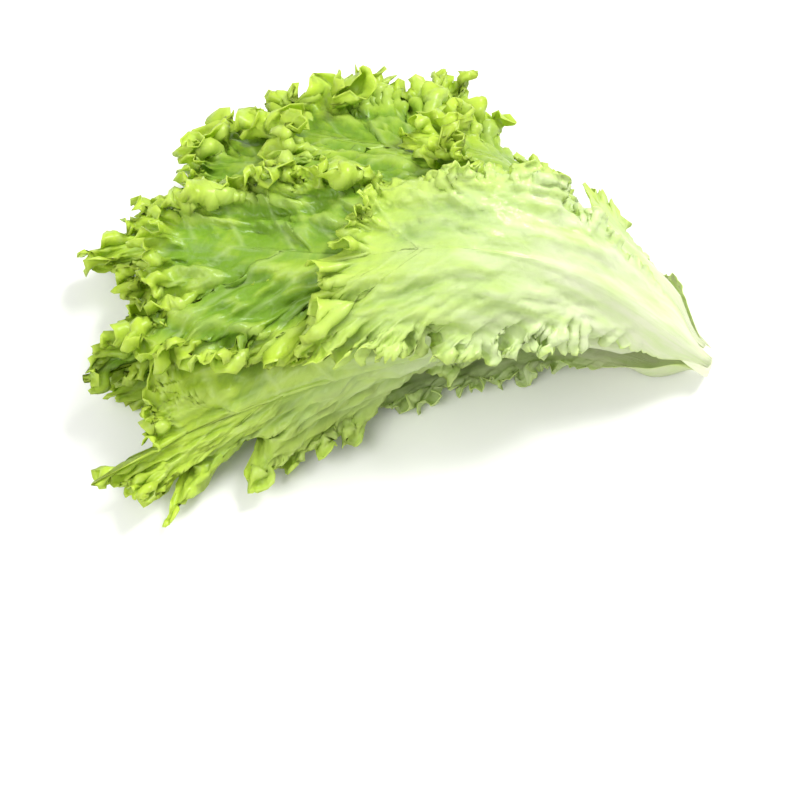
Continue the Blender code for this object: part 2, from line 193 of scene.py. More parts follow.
def stemRadius(s):
    taper = stemForm["topRadius"] - stemForm["cutRadius"]
    return stemForm["cutRadius"] + taper * smooth(s, 0.002, stemForm["length"])


def wander(rng, x, waves):
    # A smooth random curve over x from 0 to 1, about -1 to 1 high
    total = 0
    for k in range(1, 4):
        total = total + np.sin(2 * math.pi * (waves * k / 2 * x + rng.random())) / k
    return total / 1.5


class Stack:
    # The outermost surface laid so far, as a layer height over s and a
    cellS = 0.002
    rows = 200
    cellsA = 180

    def __init__(self):
        self.height = np.zeros((self.rows, self.cellsA))
        rows = np.arange(self.rows) * self.cellS
        inside = rows < stemForm["length"] + self.cellS
        self.height[inside] = stemRadius(rows[inside])[:, None] + drapeForm["leastGap"] / 2

    def cell(self, s, a):
        row = np.clip((s / self.cellS).astype(int), 1, self.rows - 2)
        return row, (a / (2 * math.pi) * self.cellsA).astype(int) % self.cellsA

    def near(self, s, a):
        row, column = self.cell(s, a)
        shifts = [(i, j) for i in (-1, 0, 1) for j in (-1, 0, 1)]
        return [self.height[row + i, (column + j) % self.cellsA] for i, j in shifts]

    def under(self, s, a):
        return np.max(self.near(s, a), axis=0)

    def add(self, s, a, r):
        np.maximum.at(self.height, self.cell(s, a), r)


class Ceiling(Stack):
    # The innermost surface of the leaves already laid outside, filled from outside in
    def __init__(self):
        self.height = np.full((self.rows, self.cellsA), 9.0)

    def over(self, s, a):
        return np.min(self.near(s, a), axis=0)

    def add(self, s, a, r):
        np.minimum.at(self.height, self.cell(s, a), r)


class Pattern:
    # A leaf laid flat: l is along the midrib from its base, d across it, and t
    # runs along the margin from the base to the tip
    ringShares = (2, 2, 2, 2, 1, 1)
    tipRoundness = 2.2
    ringPlaceRow = (0.0, 0.0, 0.36, 0.66, 0.86, 1.0)

    def __init__(self, leaf, seed):
        self.leaf = leaf
        rng = np.random.default_rng(seed)
        outlineL, outlineD, self.marginLength = self.outline()
        waveLength = leafForm["ruffleLength"] * (1.5 - 0.5 * min(leaf.ruffle, 1))
        self.waves = max(4, round(0.88 * self.marginLength / waveLength))
        self.columns = self.countColumns()
        self.size = min(1.0, leaf.length / leafForm["fullRibLength"])
        self.ring, self.side, self.t = self.numberPoints()
        even = np.linspace(0, 1, len(outlineL))
        marginL = np.interp(self.t, even, outlineL)
        marginD = np.interp(self.t, even, outlineD)
        lobes = self.bothSides(rng, (7, 8)) * smooth(self.t, 0.2, 0.4)
        lobes = leafForm["lobeShare"] * lobes
        marginL = marginL * (1 + lobes * smooth(self.t, 0.5, 0.9))
        marginD = marginD * (1 + lobes)
        foot = marginL - 0.22 * leaf.length * np.clip(marginL / leaf.length, 0, 1) ** 1.5
        self.span = np.hypot(marginL - foot, marginD)
        self.place = self.ringPlaces(foot)
        reach = self.place * self.toothing()
        self.l = foot + (marginL - foot) * reach
        self.d = marginD * reach * self.side
        self.triangles = self.makeTriangles()
        self.rib = self.makeRib()
        thick = (1 - smooth(self.l, 0.0, 0.45 * leaf.length)) * (1 - self.place) * self.size
        thinBlade = leafForm["bladeAtMargin"]
        self.blade = thinBlade + (leafForm["bladeAtBase"] - thinBlade) * thick
        self.wave = self.makeWave(rng)
        self.neighbours = self.makeNeighbours()

    def countColumns(self):
        return 4 * self.waves

    def toothing(self):
        return 1.0

    def numberPoints(self):
        self.ids = {}
        rows = []
        for ring, share in enumerate(self.ringShares):
            count = self.columns // share
            for side in (-1, 1):
                for j in range(count + 1):
                    key = self.key(ring, side, j, count)
                    if key not in self.ids:
                        self.ids[key] = len(rows)
                        rows.append((ring, key[1], j / count))
        ring, side, t = np.array(rows).T
        return ring.astype(int), side, t

    def key(self, ring, side, j, count):
        onMidrib = ring == 0 or j == count
        return ring, 0 if onMidrib else side, j

    def outline(self):
        # The half blade's edge, from the base to the tip, in even steps
        x = np.linspace(0, 1, 400)
        attached = leafForm["attachedShare"] * float(stemRadius(self.leaf.start))
        petiole = attached + leafForm["petioleWidening"]
        waist = petiole / self.leaf.width
        half = waist + (1 - waist) * smooth(x, 0.06, 0.60)
        narrow = 1 - smooth(x * self.leaf.length, 0, leafForm["attachedLength"])
        narrow = narrow * (1 - attached / petiole)
        shoulder = leafForm["shoulder"]
        past = np.clip(x - shoulder, 0, 1) / (1 - shoulder)
        half = half * (1 - narrow) * np.sqrt(np.clip(1 - past**self.tipRoundness, 0, 1))
        l, d = x * self.leaf.length, half * self.leaf.width
        run = np.concatenate([[0], np.cumsum(np.hypot(np.diff(l), np.diff(d)))])
        even = np.linspace(0, run[-1], len(x))
        return np.interp(even, run, l), np.interp(even, run, d), run[-1]

    def ringPlaces(self, foot):
        edgeOfRib = self.ribHalfWidth(foot) / self.span
        place = np.array(self.ringPlaceRow)[self.ring]
        place = np.where(self.ring == 1, np.minimum(edgeOfRib, 0.8), place)
        place = np.where(self.ring == 2, np.maximum(place, 0.5 * (0.64 + edgeOfRib)), place)
        return np.where(self.ring == 3, np.maximum(place, 0.5 * (0.9 + edgeOfRib)), place)

    def ribHalfWidth(self, l):
        left = 1 - smooth(l, -0.2 * self.leaf.length, 0.7 * self.leaf.length)
        atTip = leafForm["ribHalfWidthAtTip"]
        return atTip + (leafForm["ribHalfWidth"] - atTip) * left

    def ribHeight(self, l):
        taper = (1 - np.clip(l / self.leaf.length, 0, 1)) ** 1.6
        return self.size * leafForm["ribHeight"] * taper * (0.3 + 0.7 * smooth(l, 0, 0.025))

    def makeRib(self):
        return np.where(self.ring == 0, self.ribHeight(self.l), 0.0)

    def bothSides(self, rng, waves):
        left, right = (wander(rng, self.t, count) for count in waves)
        return np.where(self.side < 0, left, right)

    def makeWave(self, rng):
        shift = np.where(self.side < 0, *(0.3 * rng.random(2)))
        uneven = 0.16 * self.bothSides(rng, (3, 4))
        self.wavePhase = 2 * math.pi * (self.waves * self.t + shift + uneven)
        strength = 0.75 + 0.35 * self.bothSides(rng, (5, 6))
        nearTip = smooth(self.t, 0.90, 1.0)
        self.waveHeight = strength * smooth(self.t, 0.12, 0.34) * (1 - nearTip) * self.place**2
        return self.waveHeight * np.sin(self.wavePhase) + 0.15 * nearTip * self.place**2

    def makeTriangles(self):
        found = []
        for side in (-1, 1):
            for ring in range(len(self.ringShares) - 1):
                for face in self.strip(side, ring):
                    found.append(face if side > 0 else face[::-1])
        return np.array([face for face in found if len(set(face)) == 3])

    def strip(self, side, ring):
        inner = self.columns // self.ringShares[ring]
        outer = self.columns // self.ringShares[ring + 1]

        def pick(r, j, count):
            return self.ids[self.key(r, side, j, count)]

        for j in range(inner):
            a, b = pick(ring, j, inner), pick(ring, j + 1, inner)
            if outer == inner:
                c, d = pick(ring + 1, j + 1, outer), pick(ring + 1, j, outer)
                yield from [(a, b, c), (a, c, d)] if j % 2 else [(a, b, d), (b, c, d)]
            else:
                c, d, e = (pick(ring + 1, 2 * j + n, outer) for n in (0, 1, 2))
                yield from [(a, b, d), (a, d, c), (b, e, d)]

    def makeNeighbours(self):
        ends = [self.triangles[:, [i, j]] for i, j in ((0, 1), (1, 2), (2, 0))]
        return np.unique(np.sort(np.concatenate(ends), axis=1), axis=0)

    def averaged(self, values):
        first, second = self.neighbours.T
        count = np.bincount(np.r_[first, second], minlength=len(values))
        total = np.bincount(first, values[second], len(values))
        return (total + np.bincount(second, values[first], len(values))) / count

    def smoothed(self, values, rounds):
        for _ in range(rounds):
            values = self.averaged(values)
        return values

    def gentleCover(self, values):
        # A cover at or above values whose slope stays gentle, then smoothed
        first, second = self.neighbours.T
        along = 0.5 * (self.l[first] + self.l[second])
        atBase = 1 - smooth(along, 0.01, 0.07)
        steepest = drapeForm["steepest"]
        steepest = steepest + (drapeForm["steepestAtBase"] - steepest) * atBase
        run = np.hypot(self.l[first] - self.l[second], self.d[first] - self.d[second])
        drop = steepest * run
        cover = values.copy()
        for _ in range(60):
            before = cover.copy()
            np.maximum.at(cover, first, before[second] - drop)
            np.maximum.at(cover, second, before[first] - drop)
            if np.abs(cover - before).max() < 1e-6:
                break
        loose = smooth(self.l, 0.01, 0.09)
        for _ in range(4):
            cover = np.maximum(values, cover + loose * (self.averaged(cover) - cover))
        return cover


def midrib(leaf, l):
    # s, a and r of the midrib at the lengths l, from a fine walk along it
    steps = np.linspace(0, 1.15 * leaf.length, 120)
    share = steps / leaf.length
    slope = np.radians(leaf.lean + (leaf.flare - leaf.lean) * share**1.5)
    ds = np.diff(steps)
    s = leaf.start + np.concatenate([[0], np.cumsum(np.cos(slope[:-1]) * ds)])
    a = np.radians(leaf.angle + leaf.turn * share**1.5)
    away = np.concatenate([[0], np.cumsum(np.sin(slope[:-1]) * ds)])
    first = stemRadius(leaf.start) + 0.5 * leafForm["bladeAtBase"] + drapeForm["leastGap"]
    r = first + away / outwardScale(s, a)
    return tuple(np.interp(l, steps, values) for values in (s, a, r))


def bend(pattern, push, waves=1.0):
    # The middle of the leaf's blade with its midrib's layer raised by push
    leaf = pattern.leaf
    s, a0, r0 = midrib(leaf, pattern.l)
    opening = leaf.opening * smooth(pattern.l, 0.1 * leaf.length, 0.8 * leaf.length)
    rolling = leaf.roll * smooth(pattern.l, 0.25 * leaf.length, 0.7 * leaf.length)
    step = pattern.d / drapeForm["arcSteps"] / np.sqrt(1 + rolling**2)
    rMid = r0 + push
    a = a0
    for k in range(drapeForm["arcSteps"]):
        d = pattern.d * (k + 0.5) / drapeForm["arcSteps"]
        r = rMid + opening * (np.hypot(rMid, d) - rMid) + d * rolling
        a = a + step / (np.maximum(r, 0.006) * aroundScale(s, a))
    a = a0 + drapeForm["mostWrap"] * np.tanh((a - a0) / drapeForm["mostWrap"])
    wave = waves * leafForm["ruffleHeight"] * leaf.ruffle * pattern.wave
    return toSpace(s, a, np.maximum(r + wave / outwardScale(s, a), 0.004))


def thicken(pattern, middle):
    # The outer and inner faces round the middle of the blade
    normal = vertexNormals(middle, pattern.triangles)
    outer = middle + normal * (0.5 * pattern.blade + pattern.rib)[:, None]
    return outer, middle - normal * (0.5 * pattern.blade)[:, None]


def drape(pattern, stack):
    # Lays the leaf on the stack, raised only where it would cut into it, and adds it
    push = np.zeros(len(pattern.l))
    demand = np.zeros(len(pattern.l))
    for _ in range(drapeForm["mostPasses"]):
        outer, inner = thicken(pattern, bend(pattern, push))
        points, owners, weights = samples(inner, pattern.triangles)
        s, a, r = toLayers(points)
        gap = drapeForm["leastGap"] / outwardScale(s, a)
        short = stack.under(s, a % (2 * math.pi)) + gap - r
        if short.max() <= drapeForm["closeEnough"]:
            break
        lift = short / (weights**2).sum(1)
        need = np.zeros(len(push))
        for corner in range(3):
            np.maximum.at(need, pattern.triangles[owners, corner], lift * weights[:, corner])
        demand = np.where(need > 0, push + np.minimum(need, drapeForm["mostLift"]), demand)
        push = pattern.gentleCover(demand)
    points, _, _ = samples(outer, pattern.triangles)
    s, a, r = toLayers(points)
    stack.add(s, a % (2 * math.pi), r)
    return outer, inner, push


def samples(points, triangles, spacing=0.0015):
    # Points spread over each triangle, the triangle that each is on, and its corners' weights
    corners = points[triangles]
    longest = np.linalg.norm(corners - np.roll(corners, 1, axis=1), axis=2).max(axis=1)
    cuts = np.clip(np.ceil(longest / spacing), 2, 24).astype(int)
    found, owners, shares = [], [], []
    for n in np.unique(cuts):
        chosen = np.nonzero(cuts == n)[0]
        i, j = np.meshgrid(np.arange(n + 1), np.arange(n + 1), indexing="ij")
        keep = i + j <= n
        weights = np.stack([i[keep], j[keep], n - i[keep] - j[keep]], -1) / n
        found.append(np.einsum("wc,tcx->twx", weights, corners[chosen]).reshape(-1, 3))
        owners.append(np.repeat(chosen, len(weights)))
        shares.append(np.tile(weights, (len(chosen), 1)))
    return np.concatenate(found), np.concatenate(owners), np.concatenate(shares)


def vertexNormals(points, triangles):
    a, b, c = (points[triangles[:, k]] for k in range(3))
    face = np.cross(b - a, c - a)
    total = np.zeros_like(points)
    for axis in range(3):
        for k in range(3):
            total[:, axis] += np.bincount(triangles[:, k], face[:, axis], len(points))
    return unit(total)


def closedFaces(triangles, count):
    # The outer face, the inner face turned over, and a wall along the rim
    ends = np.concatenate([triangles[:, [i, j]] for i, j in ((0, 1), (1, 2), (2, 0))])
    known = set(map(tuple, ends.tolist()))
    wall = []
    for i, j in sorted(known):
        if (j, i) not in known:
            wall += [(j, i, i + count), (j, i + count, j + count)]
    return np.concatenate([triangles, triangles[:, ::-1] + count, np.array(wall)])


def stemGrid(rows, sides):
    angles = np.arange(sides) * 2 * math.pi / sides
    return np.meshgrid(rows, angles, indexing="ij")


def stemMesh(s, a, radius):
    # A tube over a grid of rows and angles, which closes at a point at each end
    rings = toSpace(s.ravel(), a.ravel(), radius.ravel())
    tipPlace = stemForm["length"] + stemForm["tipHeight"]
    ends = toSpace(np.array([0.0, tipPlace]), np.zeros(2), np.zeros(2))
    rows, sides = s.shape
    last = (rows - 1) * sides
    cutCentre, tip = len(rings), len(rings) + 1
    faces = []
    for k in range(sides):
        after = (k + 1) % sides
        for row in range(0, last, sides):
            here, there = row + k, row + after
            faces += [(here, there + sides, there), (here, here + sides, there + sides)]
        faces += [(cutCentre, k, after), (tip, last + after, last + k)]
    return np.concatenate([rings, ends]), np.array(faces)


def plainStem():
    rows = [0.0, stemForm["chamfer"], 0.006, 0.014, 0.024, 0.034, 0.044, stemForm["length"]]
    s, a = stemGrid(np.array(rows), stemForm["sides"])
    radius = stemRadius(s)
    radius[0] -= stemForm["chamfer"]
    radius[-1] *= stemForm["tipShare"]
    return stemMesh(s, a, radius)


# How the head sags on the table and comes to rest


class Sag:
    # How far each place of the head sinks, from the lowest points round it
    def __init__(self, solids, reach):
        low = {}
        cell = sagForm["cell"]
        for points, _ in solids.values():
            cells = np.round(points[:, :2] / cell).astype(int)
            for key, z in zip(map(tuple, cells), points[:, 2]):
                low[key] = min(z, low.get(key, z))
        self.place = np.array(sorted(low)) * cell
        self.depth = np.exp(-np.array([low[key] for key in sorted(low)]) / sagForm["blend"])
        self.reach = reach
        self.net = None

    def drop(self, xy):
        away = ((xy[:, None] - self.place) ** 2).sum(2)
        weight = np.exp(-0.5 * away / self.reach**2)
        total = np.maximum(weight.sum(1), 1e-300)
        return sagForm["blend"] * np.log(np.maximum((weight * self.depth).sum(1), 1e-300) / total)

    def dropSmoothly(self, xy, spacing=0.004):
        # The same, read from a net laid over the table
        if self.net is None:
            self.corner = self.place.min(0) - 0.03
            count = np.ceil((self.place.max(0) + 0.03 - self.corner) / spacing).astype(int) + 1
            x, y = (self.corner[k] + spacing * np.arange(count[k]) for k in (0, 1))
            grid = np.stack(np.meshgrid(x, y, indexing="ij"), -1).reshape(-1, 2)
            self.net = self.drop(grid).reshape(count)
        at = (xy - self.corner) / spacing
        at = np.clip(at, 0, np.array(self.net.shape) - 1.001)
        i, j = at.astype(int).T
        u, v = (at - at.astype(int)).T
        near = self.net[i, j] * (1 - u) * (1 - v) + self.net[i + 1, j] * u * (1 - v)
        return near + self.net[i, j + 1] * (1 - u) * v + self.net[i + 1, j + 1] * u * v


def centreOfMass(solids):
    total, moment = 0.0, np.zeros(3)
    for points, faces in solids.values():
        a, b, c = (points[faces[:, k]] for k in range(3))
        volume = np.einsum("ij,ij->i", a, np.cross(b, c)) / 6
        total += volume.sum()
        moment += ((a + b + c) / 4 * volume[:, None]).sum(0)
    return moment / total


def undersideNormal(points, weight):
    # The normal of the facet of the convex hull that the weight stands on
    hull = bmesh.new()
    for p in points:
        hull.verts.new(p)
    bmesh.ops.convex_hull(hull, input=hull.verts)
    centre = points.mean(0)
    facets = []
    for face in hull.faces:
        corners = np.array([v.co for v in face.verts])
        normal = np.cross(corners[1] - corners[0], corners[2] - corners[0])
        normal = normal / max(np.linalg.norm(normal), 1e-12)
        if normal @ (corners[0] - centre) < 0:
            normal = -normal
        if normal[2] < -0.5:
            below = corners[0, 2] - (weight - corners[0])[:2] @ normal[:2] / normal[2]
            facets.append((below, tuple(normal)))
    hull.free()
    return np.array(max(facets)[1])


def restMoves(solids):
    # The turns and shifts that set the head on its three lowest points, centred on the origin
    moves = []
    for _ in range(3):
        points = np.concatenate([p for p, _ in solids.values()])
        down = undersideNormal(points, centreOfMass(solids))
        axis = np.cross(down, (0, 0, -1))
        angle = math.asin(min(1.0, np.linalg.norm(axis)))
        turn = np.array(Matrix.Rotation(angle, 3, Vector(axis))) if angle > 1e-7 else np.eye(3)
        points = points @ turn.T
        low, high = points.min(0), points.max(0)
        shift = np.array(((low[0] + high[0]) / 2, (low[1] + high[1]) / 2, low[2]))
        moves.append((turn, shift))
        for name, (p, faces) in solids.items():
            solids[name] = (p @ turn.T - shift, faces)
    return moves


class Bed:
    # The whole way from the head's own space to where it lies on the table
    def __init__(self, solids):
        self.sags = []
        for reach in sagForm["reaches"]:
            sag = Sag(solids, reach)
            for points, _ in solids.values():
                points[:, 2] += sag.drop(points[:, :2])
            self.sags.append(sag)
        self.moves = restMoves(solids)

    def lay(self, points):
        points = points.copy()
        for sag in self.sags:
            points[:, 2] += sag.dropSmoothly(points[:, :2])
        for turn, shift in self.moves:
            points = points @ turn.T - shift
        return points


# The fine leaf: the same blade with many more points, a toothed edge and finer frills

frillLook = {
    "pointSpacing": 0.00070,
    "lobeLength": 0.0090,
    "lobeHeight": 0.0034,
    "toothLength": 0.0030,
    "toothHeight": 0.0024,
    "curlReach": 0.027,
    "curlAngle": 66,
    "curlLength": 0.038,
    "waveFade": 2.6,
    "lean": 0.24,
    "lobing": 0.45,
    "sunkFoot": 0.0012,
    "footLength": 0.026,
    "broadFoot": 0.40,
    "flattened": 0.85,
    "reliefRoom": 0.0014,
    "bladeAtMargin": 0.00045,
    "bladeAtBase": 0.0012,
    "ribShareBelow": 0.35,
    "fullFrillWidth": 0.03,
    "coverRooms": (0.003, 0.018),
    "pressSlack": 0.0015,
    "leastLayer": 0.003,
    "floorGap": 0.0004,
    "floorBlend": 0.0012,
    "leastFloorGap": 0.0001,
    "spreadRounds": 260,
    "coverRounds": 40,
    "pressRounds": 24,
}

# The waves of the margin, from the widest to the finest: their length along the margin, their height,
# and how far in from the margin they reach
Frill = namedtuple("Frill", "length height reach")
frills = (
    Frill(0.0120, 0.0052, 0.019),
    Frill(0.0068, 0.0042, 0.014),
    Frill(0.0040, 0.0025, 0.009),
    Frill(0.0025, 0.0011, 0.005),
)

# pale: how far from its base the leaf is white, and how little green runs into the white
# dark: how deep its green is
# rib: how white its midrib is
# curl: how far its margins curl up, as a share of the usual
# frill, farFrill: the share of the full height of its frills on the side of smaller angles
# round the stem, and on the other
# deep: how far in from the margin its frills reach, as a share of the usual
# blister: how strongly its blade is puckered between the veins
# grain: the share of the full number of points
LeafLook = namedtuple("LeafLook", "pale dark rib curl frill farFrill deep blister grain")
leafLooks = {
    "leaf_01": LeafLook(0.9, 0.0, 0.8, 0.3, 0.5, 0.5, 0.8, 0.5, 0.45),
    "leaf_02": LeafLook(0.8, 0.0, 0.8, 0.3, 0.6, 0.6, 0.8, 0.5, 0.45),
    "leaf_03": LeafLook(0.9, 0.0, 0.8, 0.3, 0.6, 0.6, 0.8, 0.5, 0.45),
    "leaf_04": LeafLook(0.6, 0.1, 0.8, 0.3, 0.7, 0.7, 0.8, 0.5, 0.6),
    "leaf_05": LeafLook(0.6, 0.1, 0.7, 0.8, 1.15, 1.15, 1.1, 1.0, 0.75),
    "leaf_06": LeafLook(0.6, 0.2, 0.8, 0.4, 0.8, 0.8, 1.0, 0.6, 0.65),
    "leaf_07": LeafLook(0.4, -0.3, 0.5, 0.35, 1.2, 1.2, 1.2, 1.6, 0.9),
    "leaf_08": LeafLook(0.5, 0.1, 0.6, 0.9, 1.15, 1.15, 1.3, 1.4, 0.85),
    "leaf_09": LeafLook(0.3, 0.45, 0.6, 0.35, 1.2, 1.2, 1.2, 1.6, 0.9),
    "leaf_10": LeafLook(0.35, 0.1, 0.4, 1.0, 1.3, 1.3, 1.6, 1.7, 1.0),
    "leaf_11": LeafLook(1.3, 0.0, 0.6, 0.4, 0.8, 0.8, 1.0, 0.6, 0.85),
    "leaf_12": LeafLook(1.0, -0.55, 0.6, 0.25, 1.0, 1.0, 1.1, 1.7, 1.0),
    "leaf_13": LeafLook(0.35, 0.0, 0.4, 1.1, 1.35, 1.35, 1.7, 1.7, 1.0),
    "leaf_14": LeafLook(1.5, 0.0, 0.8, 0.3, 0.7, 0.7, 1.0, 0.6, 0.8),
    "leaf_15": LeafLook(0.6, 0.2, 0.3, 0.7, 1.1, 1.1, 1.1, 2.6, 1.0),
    "leaf_16": LeafLook(1.0, 0.0, 0.4, 0.9, 1.15, 1.15, 1.3, 1.2, 0.9),
    "leaf_17": LeafLook(1.4, 0.1, 1.0, 0.25, 0.8, 0.8, 0.9, 0.6, 0.9),
    "leaf_18": LeafLook(1.5, -0.2, 1.0, 0.6, 0.45, 1.0, 1.1, 1.1, 1.0),
    "leaf_19": LeafLook(1.8, -0.4, 0.9, 0.3, 0.6, 0.6, 0.8, 0.4, 0.5),
}


class FinePattern(Pattern):
    ribRings = 4
    tipRoundness = 3.2
    ringShares = (8,) * 2 + (4,) * 8 + (2,) * 8 + (1,) * 11

    def countColumns(self):
        spacing = frillLook["pointSpacing"] / leafLooks[self.leaf.name].grain
        return 8 * round(self.marginLength / spacing / 8)

    def ringPlaces(self, foot):
        # Even rings over the rib, then rings that close up towards the margin
        edgeOfRib = np.minimum(self.ribHalfWidth(foot) / self.span, 0.7)
        onRib = edgeOfRib * self.ring / self.ribRings
        v = (self.ring - self.ribRings) / (len(self.ringShares) - 1 - self.ribRings)
        v = np.clip(v, 0, 1)
        onBlade = edgeOfRib + (1 - edgeOfRib) * (v + 0.40 * v * (1 - v))
        return np.where(self.ring < self.ribRings, onRib, onBlade)

    def makeWave(self, rng):
        # The foot is broader too, so that it wraps the stem
        self.d = self.d * (1 + frillLook["broadFoot"] * (1 - smooth(self.l, 0.0, 0.07)))
        wave = super().makeWave(rng)
        # The waves stay nearer to the margin than on the solid
        fade = self.place ** frillLook["waveFade"]
        self.waveHeight = self.waveHeight * fade
        return wave * fade

    def marginRun(self):
        # The way round the whole margin, from the base past the tip and back, from 0 to 1
        return np.where(self.side > 0, 2 - self.t, self.t) / 2

    def aroundMargin(self, rng, waves):
        return wander(rng, self.marginRun(), 2 * waves)

    def toothing(self):
        # Rounded lobes with sharp notches between them, of uneven size, and small teeth on them
        rng = np.random.default_rng(1000 + int(self.leaf.name[-2:]))
        run = 2 * self.marginRun() * self.marginLength
        warp = 0.5 * self.aroundMargin(rng, 11)
        lobe = np.abs(np.sin(math.pi * (run / frillLook["lobeLength"] + warp))) ** 0.7 - 0.6
        tooth = np.abs(np.sin(math.pi * (run / frillLook["toothLength"] + 2.5 * warp))) - 0.6
        uneven = np.clip(0.7 + 0.6 * self.aroundMargin(rng, 31), 0.2, 1.5)
        rough = np.clip(0.8 + 0.7 * self.aroundMargin(rng, 23), 0.1, 1.5)
        height = frillLook["lobeHeight"] * lobe * uneven
        height = height + frillLook["toothHeight"] * tooth * rough
        height = height * smooth(self.t, 0.08, 0.2) * smooth(self.place, 0.72, 1.0)
        height = height * min(1.0, self.leaf.width / frillLook["fullFrillWidth"])
        return 1 + height / np.maximum(self.span, 0.004)

    def makeRib(self):
        across = np.clip(np.abs(self.d) / self.ribHalfWidth(self.l), 0, 1)
        return 2.2 * self.ribHeight(self.l) * (1 - across**2) ** 2

    def beside(self):
        # The points before and after each point on its ring, on the way round the margin
        before = np.arange(len(self.t))
        after = before.copy()
        for (ring, side, j), here in self.ids.items():
            count = self.columns // self.ringShares[ring]
            if ring > 0 and j == count:
                before[here] = self.ids[self.key(ring, -1, j - 1, count)]
                after[here] = self.ids[self.key(ring, 1, j - 1, count)]
                continue
            onwards = -1 if side > 0 else 1
            for step, found in ((-onwards, before), (onwards, after)):
                other = self.ids.get(self.key(ring, side, j + step, count))
                if other is not None:
                    found[here] = other
        return before, after


def spread(coarse, values, fine):
    # The values on the coarse leaf, read at the fine leaf's points and rounded off
    result = np.zeros(len(fine.t))
    for side in (-1, 1):
        chosen = np.nonzero(fine.side == side if side < 0 else fine.side >= 0)[0]
        places, heights = [], []
        for ring, share in enumerate(coarse.ringShares):
            count = coarse.columns // share
            ids = [coarse.ids[coarse.key(ring, side, j, count)] for j in range(count + 1)]
            t = np.linspace(0, 1, count + 1)
            places.append(np.interp(fine.t[chosen], t, coarse.place[ids]))
            heights.append(np.interp(fine.t[chosen], t, values[ids]))
        places, heights = np.array(places), np.array(heights)
        p = fine.place[chosen]
        below = np.clip((places <= p).sum(0) - 1, 0, len(places) - 2)
        here = np.arange(len(chosen))
        low, high = places[below, here], places[below + 1, here]
        share = np.clip((p - low) / np.maximum(high - low, 1e-9), 0, 1)
        result[chosen] = heights[below, here] * (1 - share) + heights[below + 1, here] * share
    return fine.smoothed(result, frillLook["spreadRounds"])


def axesAt(pattern, points, beside, soften):
    # At each point: the sheet's normal, the way round the margin, and the way out to it,
    # averaged over the points round it so that deep folds don't run into each other
    before, after = beside
    normal = vertexNormals(points, pattern.triangles)
    along = unit(points[after] - points[before])
    for axis in range(3):
        normal[:, axis] = pattern.smoothed(normal[:, axis], soften)
        along[:, axis] = pattern.smoothed(along[:, axis], soften)
    normal, along = unit(normal), unit(along)
    return normal, along, -unit(np.cross(normal, along))


def covered(pattern, points, ceiling):
    # How closely the leaf lies under the ones outside it, from 0 where it is free to 1
    s, a, r = toLayers(points)
    room = (ceiling.over(s, a % (2 * math.pi)) - r) * outwardScale(s, a)
    cover = 1 - smooth(room, *frillLook["coverRooms"])
    return pattern.smoothed(cover, frillLook["coverRounds"])


def marginShare(pattern):
    # No frills along the leaf stalk or on the midrib, and each side has its own share
    look = leafLooks[pattern.leaf.name]
    share = smooth(pattern.t, 0.12, 0.34) * smooth(pattern.place, 0.1, 0.4)
    nearTip = smooth(pattern.t, 0.8, 1.0)
    sides = np.where(pattern.side > 0, look.farFrill, look.frill)
    sides = sides + nearTip * (0.5 * (look.frill + look.farFrill) - sides)
    free = 1 - frillLook["flattened"] * pattern.cover
    return share * sides * free * min(1.0, pattern.leaf.width / frillLook["fullFrillWidth"])


def curlUp(pattern, points, rng, beside):
    # The outer band of the blade curls away from the head, more in some places than in others
    reach = np.minimum(frillLook["curlReach"], 0.6 * pattern.span)
    normal, _, outward = axesAt(pattern, points, beside, 30)
    edge = (1 - pattern.place) * pattern.span
    count = pattern.marginLength / frillLook["curlLength"]
    uneven = 0.45 + 0.85 * pattern.aroundMargin(rng, count)
    turn = math.radians(frillLook["curlAngle"]) * np.clip(uneven, -0.5, 1.5)
    turn = turn * leafLooks[pattern.leaf.name].curl
    turn = turn * marginShare(pattern)
    turn = np.where(np.abs(turn) < 0.01, 0.01, turn)
    run = np.clip(reach - edge, 0, None)
    radius = reach / turn
    inwards = radius * np.sin(run / radius) - run
    upwards = radius * (1 - np.cos(run / radius))
    return points + outward * inwards[:, None] + normal * upwards[:, None]


def ruffle(pattern, points, beside):
    # The margin's large waves, where the solid has them, with crests that lean over
    normal, along, _ = axesAt(pattern, points, beside, 12)
    along = along * np.where(pattern.side > 0, -1, 1)[:, None]
    height = leafForm["ruffleHeight"] * pattern.leaf.ruffle
    lean = frillLook["lean"] * height * pattern.waveHeight * np.sin(2 * pattern.wavePhase)
    return points + normal * (height * pattern.wave)[:, None] - along * lean[:, None]


def frill(pattern, points, rng, beside, size):
    # Waves along the margin that grow towards it, with crests that lean over and lobes
    normal, along, outward = axesAt(pattern, points, beside, 8)
    reach = size.reach * leafLooks[pattern.leaf.name].deep
    edge = (1 - pattern.place) * pattern.span
    count = pattern.marginLength / size.length
    turns = 2 * count * pattern.marginRun() + 0.45 * pattern.aroundMargin(rng, count / 4)
    slant = 1.1 * pattern.aroundMargin(rng, count / 3) * edge / reach
    phase = 2 * math.pi * (turns + slant)
    strength = np.clip(0.9 + 0.5 * pattern.aroundMargin(rng, count / 2), 0.3, 1.4)
    share = marginShare(pattern) * np.clip(1 - edge / reach, 0, 1) ** 1.4
    move = size.height * strength * share
    points = points + normal * (move * np.sin(phase))[:, None]
    points = points + outward * (frillLook["lobing"] * move * np.cos(phase))[:, None]
    return points - along * (frillLook["lean"] * move * np.sin(2 * phase))[:, None]


